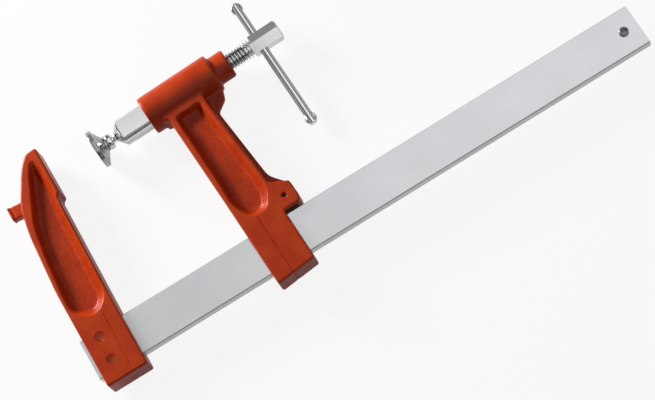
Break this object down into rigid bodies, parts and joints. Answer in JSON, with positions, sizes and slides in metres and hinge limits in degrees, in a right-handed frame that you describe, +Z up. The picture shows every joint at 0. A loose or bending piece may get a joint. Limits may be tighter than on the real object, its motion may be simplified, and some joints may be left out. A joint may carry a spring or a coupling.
{
  "type": "quick release bar clamp",
  "caption": "Steel bar clamp with a riveted fixed jaw, a quick sliding arm, a screw-driven plunger with a swivel pad, and a T-bar handle.",
  "frame": {"origin": "centre of the fixed jaw's anvil face, on the bar's mid plane", "axes": "+X along the bar to its free end, +Y from the bar to the screw, +Z up through the clamp's thickness, lying flat"},
  "size_m": [0.552, 0.2504, 0.036],
  "materials": {
    "painted_casting": "orange-red enamel on a cast skin",
    "bar_steel": "cold-drawn, brushed along its length",
    "bright_zinc": "bright zinc plate",
    "spring_steel": "plain spring steel",
    "black_shoe": "matte black",
    "hidden_steel": "plain turned steel"
  },
  "bodies": {
    "frame": {"bar": "bar_steel", "bar_stop_pin": "bright_zinc", "fixed_jaw": "painted_casting", "jaw_rivet_upper": "painted_casting", "jaw_rivet_lower": "painted_casting"},
    "arm": {"sliding_arm": "painted_casting", "screw_nut": "hidden_steel", "nut_lock_pin": "hidden_steel", "brake_pin": "spring_steel", "brake_spring": "spring_steel"},
    "shoe": {"brake_shoe": "black_shoe"},
    "plunger": {"plunger_sleeve": "bright_zinc", "ball_stud": "bright_zinc", "thrust_washer": "hidden_steel", "retaining_pin_upper": "bright_zinc", "retaining_pin_lower": "bright_zinc"},
    "screw": {"screw_spindle": "bright_zinc"},
    "handle": {"tommy_bar": "bright_zinc"},
    "pad": {"swivel_pad": "bright_zinc", "pad_collar": "bright_zinc"}
  },
  "joints": [
    {"name": "arm_slide", "type": "slide", "parent": "frame", "child": "arm", "axis": [1, 0, 0], "range_m": [-0.024, 0.3225]},
    {"name": "plunger_slide", "type": "slide", "parent": "arm", "child": "plunger", "axis": [0.9993, 0.0375, 0], "range_m": [-0.016, 0.024]},
    {"name": "screw_turn", "type": "hinge", "parent": "plunger", "child": "screw", "pos_m": [0.12359, -0.00057, 0], "axis": [0.9993, 0.0375, 0], "range_deg": [-1920.5, 2880.5]},
    {"name": "handle_slide", "type": "slide", "parent": "screw", "child": "handle", "axis": [-0.0374, 0.9955, 0.0872], "range_m": [-0.0243, 0.0718]},
    {"name": "pad_tilt", "type": "hinge", "parent": "plunger", "child": "pad", "pos_m": [0.05714, -0.00307, 0], "axis": [0, 0, 1], "range_deg": [-10, 10]},
    {"name": "shoe_press", "type": "slide", "parent": "arm", "child": "shoe", "axis": [-0.0375, 0.9993, 0], "range_m": [0, 0.0012], "stiffness_N_per_m": 1500, "springref_m": -0.003, "deforming": ["brake_spring"]}
  ],
  "couplings": [
    {"joint": "screw_turn", "follows": "plunger_slide", "rad_per_m": 2094.4}
  ]
}
